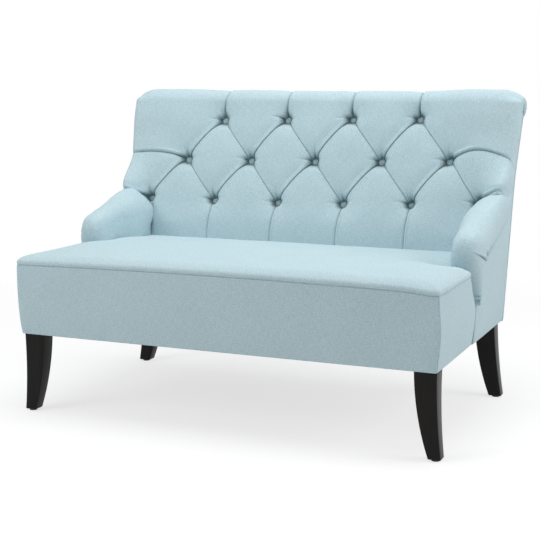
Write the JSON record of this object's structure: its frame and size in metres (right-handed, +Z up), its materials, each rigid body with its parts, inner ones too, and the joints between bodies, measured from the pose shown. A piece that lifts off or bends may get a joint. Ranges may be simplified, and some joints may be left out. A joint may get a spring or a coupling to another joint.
{
  "type": "tufted settee",
  "caption": "Upholstered two-seat settee with a deep-buttoned raked back and rolled top, low scooped arms, a fixed padded seat and dark sabre legs.",
  "frame": {"origin": "centre of the outline's box on the floor, under the settee", "axes": "+X to the sitter's left-hand arm as seen from the front (viewer's right), +Y to the back, +Z up; the settee faces -Y"},
  "size_m": [1.2874, 0.856, 0.9176],
  "materials": {
    "aqua_fabric": "light aqua-blue plain-woven upholstery cloth, matt with a faint sheen",
    "seat_foam": "cream upholstery foam, open-celled",
    "grey_felt": "grey needled felt",
    "jute_webbing": "woven jute webbing",
    "waxed_twine": "waxed tufting twine",
    "birch_plywood": "unfinished birch plywood",
    "beech_rails": "planed beech, unfinished",
    "espresso_legs": "espresso stain under satin lacquer",
    "steel_hardware": "zinc-plated steel",
    "black_dust_cloth": "black non-woven dust cloth",
    "black_glides": "black nylon nail-on glide"
  },
  "bodies": {
    "root": {"front_rail": "beech_rails", "rear_rail": "beech_rails", "seat_stretchers": "beech_rails", "corner_plates": "birch_plywood", "corner_screws": "steel_hardware", "left_side_frame": "birch_plywood", "right_side_frame": "birch_plywood", "frame_dowels": "birch_plywood", "back_top_rail": "beech_rails", "back_lower_rail": "beech_rails", "back_stiles": "beech_rails", "seat_springs": "steel_hardware", "spring_clips": "steel_hardware", "spring_tie_wires": "steel_hardware", "spring_felt": "grey_felt", "seat_foam": "seat_foam", "seat_top_cover": "aqua_fabric", "seat_front_border": "aqua_fabric", "left_seat_border": "aqua_fabric", "right_seat_border": "aqua_fabric", "back_webbing": "jute_webbing", "back_felt": "grey_felt", "tufted_back_pad": "aqua_fabric", "back_buttons": "aqua_fabric", "tufting_twine": "waxed_twine", "tufting_washers": "steel_hardware", "left_arm_pad": "aqua_fabric", "right_arm_pad": "aqua_fabric", "left_arm_roll": "aqua_fabric", "right_arm_roll": "aqua_fabric", "left_outer_cover": "aqua_fabric", "right_outer_cover": "aqua_fabric", "outside_back_cover": "aqua_fabric", "dust_cover": "black_dust_cloth", "front_left_leg": "espresso_legs", "front_right_leg": "espresso_legs", "rear_left_leg": "espresso_legs", "rear_right_leg": "espresso_legs", "leg_bolts": "steel_hardware", "leg_nuts": "steel_hardware", "foot_glides": "black_glides"}
  },
  "joints": []
}
